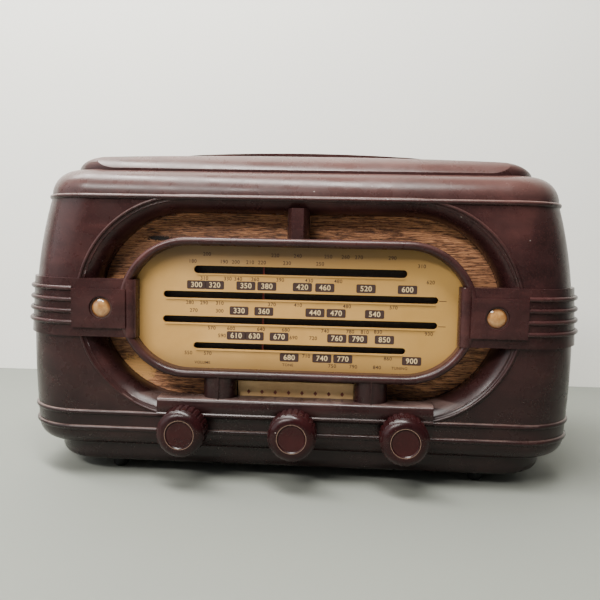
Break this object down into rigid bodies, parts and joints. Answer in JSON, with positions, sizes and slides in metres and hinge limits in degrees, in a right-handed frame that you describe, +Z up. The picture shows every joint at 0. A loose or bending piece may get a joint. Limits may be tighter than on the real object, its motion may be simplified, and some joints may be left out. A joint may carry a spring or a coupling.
{
  "type": "table radio",
  "caption": "Moulded table radio with a long oval grille, a slotted cream dial with a cord-driven pointer, and control knobs on a ledge below.",
  "frame": {"origin": "middle of the width and depth of the whole set, on the surface it stands on", "axes": "+X to the listener's right, -Y the way the dial faces, +Z up"},
  "size_m": [0.439, 0.234, 0.2578],
  "materials": {
    "bakelite": "polished, mottled",
    "knob_bakelite": "polished",
    "fibreboard": "pressed board",
    "rubber": "matt",
    "plated_steel": "dull plated",
    "brass": "dull",
    "dial_cream": "satin, printed",
    "strip_tan": "satin",
    "backing_black": "matt",
    "amber_lens": "translucent",
    "glass": "clear",
    "grille_cloth": "woven",
    "board": "raw board",
    "speaker_metal": "satin",
    "cone_paper": "matt",
    "valve_bakelite": "satin",
    "aluminium": "satin",
    "transformer_iron": "varnished laminations",
    "transformer_bell": "black enamel",
    "drum_alloy": "cast",
    "pointer_red": "painted",
    "cord": "waxed"
  },
  "bodies": {
    "set": {"cabinet": "bakelite", "back_cover": "fibreboard", "back_cover_screws": "plated_steel", "mains_grommet": "rubber", "rubber_feet": "rubber", "chassis": "plated_steel", "chassis_bolts": "plated_steel", "aerial_terminals": "brass", "dial_panel": "dial_cream", "dial_backing": "backing_black", "dial_standoffs": "plated_steel", "porthole_lens_left": "amber_lens", "porthole_lens_right": "amber_lens", "pilot_lamps": "glass", "pilot_lamp_holders": "brass", "nameplate_strip": "strip_tan", "speaker_cloth": "grille_cloth", "baffle_board": "board", "baffle_screws": "plated_steel", "speaker_frame": "speaker_metal", "speaker_magnet": "speaker_metal", "rectifier_valve": "glass", "output_valve": "glass", "detector_valve": "glass", "converter_valve": "glass", "if_valve": "glass", "valve_bases": "valve_bakelite", "valve_sockets": "valve_bakelite", "valve_shields": "aluminium", "mains_transformer_core": "transformer_iron", "mains_transformer_cover": "transformer_bell", "output_transformer": "transformer_iron", "if_can_front": "aluminium", "if_can_rear": "aluminium", "electrolytic_can": "aluminium", "gang_frame": "plated_steel", "gang_stator": "aluminium", "spindle_bush": "brass", "volume_control": "valve_bakelite", "tone_control": "valve_bakelite", "idler_pins": "plated_steel", "pointer_rail": "plated_steel", "pointer_cord": "cord", "drive_cord": "cord"},
    "speaker_diaphragm": {"speaker_cone": "cone_paper", "speaker_dust_cap": "cone_paper"},
    "volume_spindle": {"volume_knob": "knob_bakelite", "volume_shaft": "plated_steel"},
    "tone_spindle": {"tone_knob": "knob_bakelite", "tone_shaft": "plated_steel"},
    "tuning_spindle_set": {"tuning_knob": "knob_bakelite", "tuning_spindle": "plated_steel"},
    "gang": {"gang_rotor": "aluminium", "gang_shaft": "plated_steel", "tuning_drum": "drum_alloy"},
    "pointer_slider": {"pointer": "pointer_red"},
    "left_idler": {"idler_left": "drum_alloy"},
    "right_idler": {"idler_right": "drum_alloy"},
    "inner_idler": {"idler_inner": "drum_alloy"}
  },
  "joints": [
    {"name": "gang_turn", "type": "hinge", "parent": "set", "child": "gang", "pos_m": [0.05, -0.05, 0.11], "axis": [0, 1, 0], "range_deg": [-66.5, 113.4]},
    {"name": "tuning_turn", "type": "hinge", "parent": "set", "child": "tuning_spindle_set", "pos_m": [0.082, -0.108, 0.0438], "axis": [0, 1, 0], "range_deg": [-850, 1447]},
    {"name": "pointer_slide", "type": "slide", "parent": "set", "child": "pointer_slider", "axis": [1, 0, 0], "range_m": [-0.075, 0.1275]},
    {"name": "left_idler_turn", "type": "hinge", "parent": "set", "child": "left_idler", "pos_m": [-0.116, -0.053, 0.1725], "axis": [0, 1, 0], "range_deg": [-710, 1208]},
    {"name": "right_idler_turn", "type": "hinge", "parent": "set", "child": "right_idler", "pos_m": [0.116, -0.053, 0.1725], "axis": [0, 1, 0], "range_deg": [-710, 1208]},
    {"name": "inner_idler_turn", "type": "hinge", "parent": "set", "child": "inner_idler", "pos_m": [-0.0197, -0.053, 0.1605], "axis": [0, 1, 0], "range_deg": [-1208, 710]},
    {"name": "volume_turn", "type": "hinge", "parent": "set", "child": "volume_spindle", "pos_m": [-0.082, -0.108, 0.0438], "axis": [0, 1, 0], "range_deg": [-150, 150]},
    {"name": "tone_turn", "type": "hinge", "parent": "set", "child": "tone_spindle", "pos_m": [0, -0.108, 0.0438], "axis": [0, 1, 0], "range_deg": [-150, 150]},
    {"name": "cone_travel", "type": "slide", "parent": "set", "child": "speaker_diaphragm", "axis": [0, 1, 0], "range_m": [-0.001, 0.001], "stiffness_N_per_m": 2000}
  ],
  "couplings": [
    {"joint": "tuning_turn", "follows": "gang_turn", "ratio": 12.74},
    {"joint": "pointer_slide", "follows": "gang_turn", "m_per_rad": 0.0637},
    {"joint": "left_idler_turn", "follows": "gang_turn", "ratio": 10.617},
    {"joint": "right_idler_turn", "follows": "gang_turn", "ratio": 10.617},
    {"joint": "inner_idler_turn", "follows": "gang_turn", "ratio": -10.617}
  ]
}
